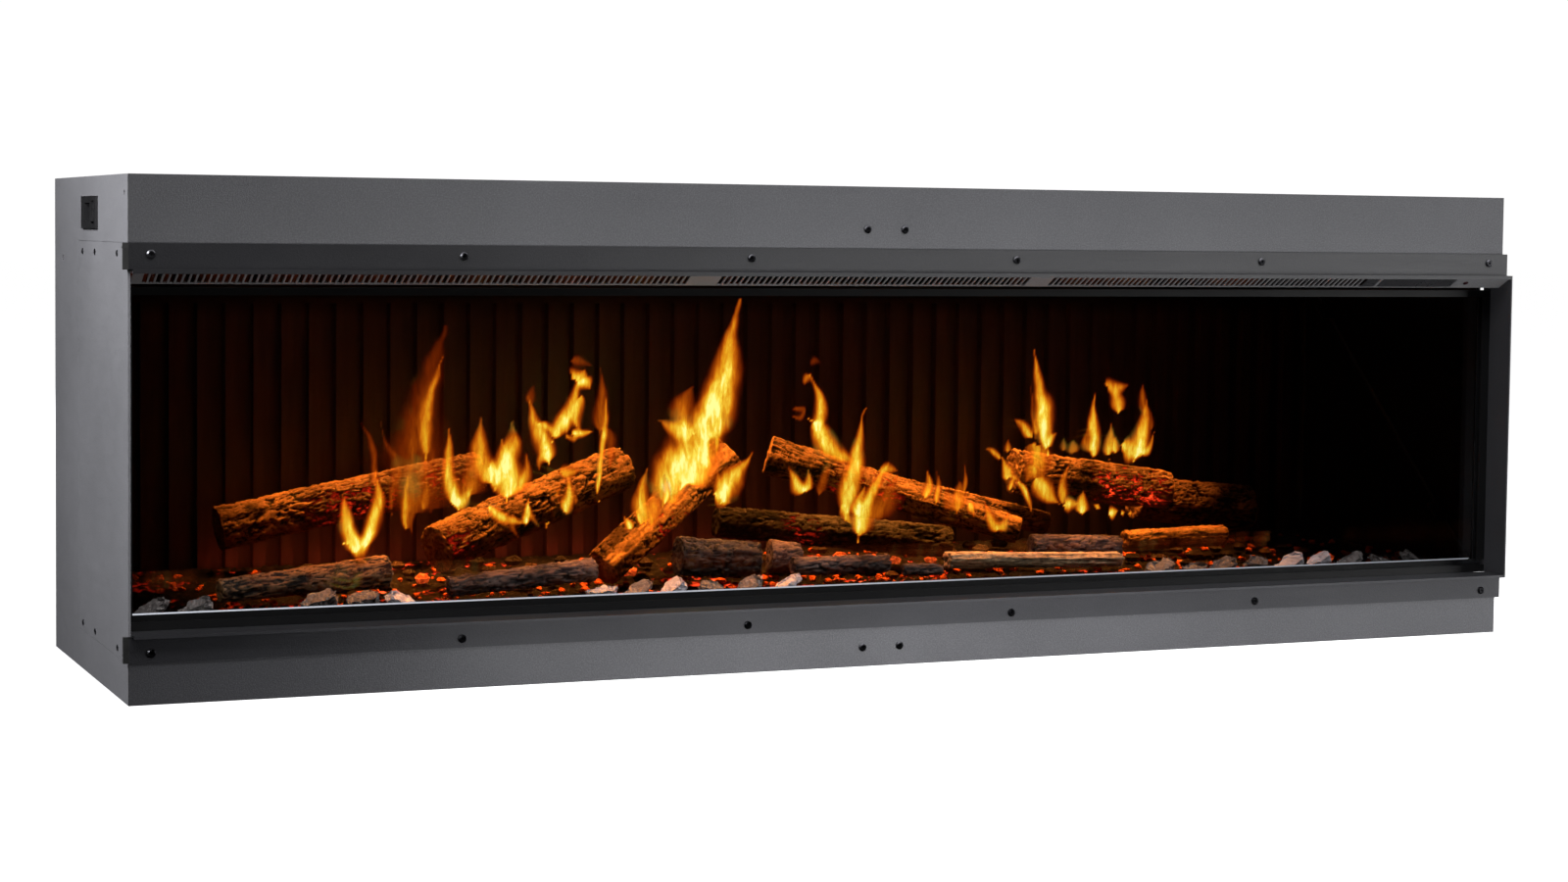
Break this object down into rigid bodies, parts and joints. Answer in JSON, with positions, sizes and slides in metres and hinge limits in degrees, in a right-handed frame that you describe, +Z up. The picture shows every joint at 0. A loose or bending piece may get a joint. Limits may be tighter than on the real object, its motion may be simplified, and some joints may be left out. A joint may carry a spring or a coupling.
{
  "type": "electric fireplace",
  "caption": "Built-in linear electric fireplace with log-effect bed, tilted reflecting glass, slotted heater outlet and trim strips.",
  "frame": {"origin": "middle of the underside of the whole object", "axes": "+X to the right seen from the front, +Y from the window to the back, +Z up"},
  "size_m": [1.51, 0.41, 0.48],
  "materials": {
    "casing_paint": "satin",
    "front_paint": "fine texture satin",
    "trim_paint": "satin",
    "cap_plastic": "matte",
    "grille_paint": "satin",
    "touch_plastic": "gloss",
    "lens_plastic": "gloss",
    "channel_metal": "satin",
    "channel_black": "satin",
    "window_glass": "clear",
    "seal_rubber": "matte",
    "mirror_pane": "part-reflecting",
    "screen_plastic": "gloss",
    "zinc_sheet": "galvanised",
    "liner_paint": "satin",
    "side_liner_paint": "gloss",
    "tray_paint": "matte",
    "ember_resin": "translucent",
    "light_board": "matte",
    "coal_resin": "translucent",
    "slate_stone": "rough",
    "log_resin": "bark",
    "log_charred": "charred",
    "log_pale": "split wood",
    "rotor_metal": "satin",
    "motor_metal": "satin",
    "bronze": "satin",
    "heater_wire": "oxidised",
    "cutout_body": "matte",
    "circuit_board": "satin",
    "supply_case": "satin",
    "inlet_plastic": "satin",
    "rocker_plastic": "satin",
    "screw_steel": "black oxide"
  },
  "bodies": {
    "root": {"base_pan": "casing_paint", "top_panel": "casing_paint", "rear_panel": "casing_paint", "left_side_panel": "casing_paint", "right_side_panel": "casing_paint", "left_window_cover": "casing_paint", "right_window_cover": "casing_paint", "top_fascia": "front_paint", "bottom_fascia": "front_paint", "top_trim": "trim_paint", "bottom_trim": "trim_paint", "right_trim": "trim_paint", "trim_end_caps": "cap_plastic", "outlet_grille": "grille_paint", "touch_panel": "touch_plastic", "control_insert": "touch_plastic", "remote_lens": "lens_plastic", "glass_top_bar": "channel_metal", "glass_bottom_channel": "channel_black", "glass_side_channels": "channel_black", "front_glass": "window_glass", "glass_seal": "seal_rubber", "mirror_glass": "mirror_pane", "mirror_clips": "channel_black", "flame_display": "screen_plastic", "deck_panel": "zinc_sheet", "fluted_liner": "liner_paint", "side_liners": "side_liner_paint", "fuel_tray": "tray_paint", "tray_supports": "zinc_sheet", "ember_bed": "ember_resin", "ember_light_strips": "light_board", "ember_coals": "coal_resin", "slate_chips": "slate_stone", "log_rear_left": "log_resin", "log_centre_left": "log_resin", "log_front_split": "log_resin", "log_centre_split": "log_resin", "log_rear_centre": "log_resin", "log_charred_bar": "log_charred", "log_charred_knot": "log_charred", "log_right_large": "log_resin", "log_right_rear": "log_resin", "log_right_gold": "log_resin", "log_front_board": "log_pale", "log_front_left": "log_resin", "log_splinters": "log_resin", "blower_housing": "zinc_sheet", "blower_motor": "motor_metal", "blower_bearing": "bronze", "heating_element": "heater_wire", "thermal_cutout": "cutout_body", "outlet_duct": "zinc_sheet", "control_board": "circuit_board", "power_supply": "supply_case", "power_inlet": "inlet_plastic", "inlet_pins": "bronze", "screws": "screw_steel"},
    "rotor": {"blower_rotor": "rotor_metal"},
    "rocker": {"rocker_switch": "rocker_plastic"}
  },
  "joints": [
    {"name": "blower_spin", "type": "hinge", "parent": "root", "child": "rotor", "pos_m": [-0.01, -0.091, 0.446], "axis": [1, 0, 0], "continuous": true},
    {"name": "rocker_toggle", "type": "hinge", "parent": "root", "child": "rocker", "pos_m": [-0.748, -0.025, 0.4455], "axis": [0, -1, 0], "range_deg": [0, 18]}
  ]
}
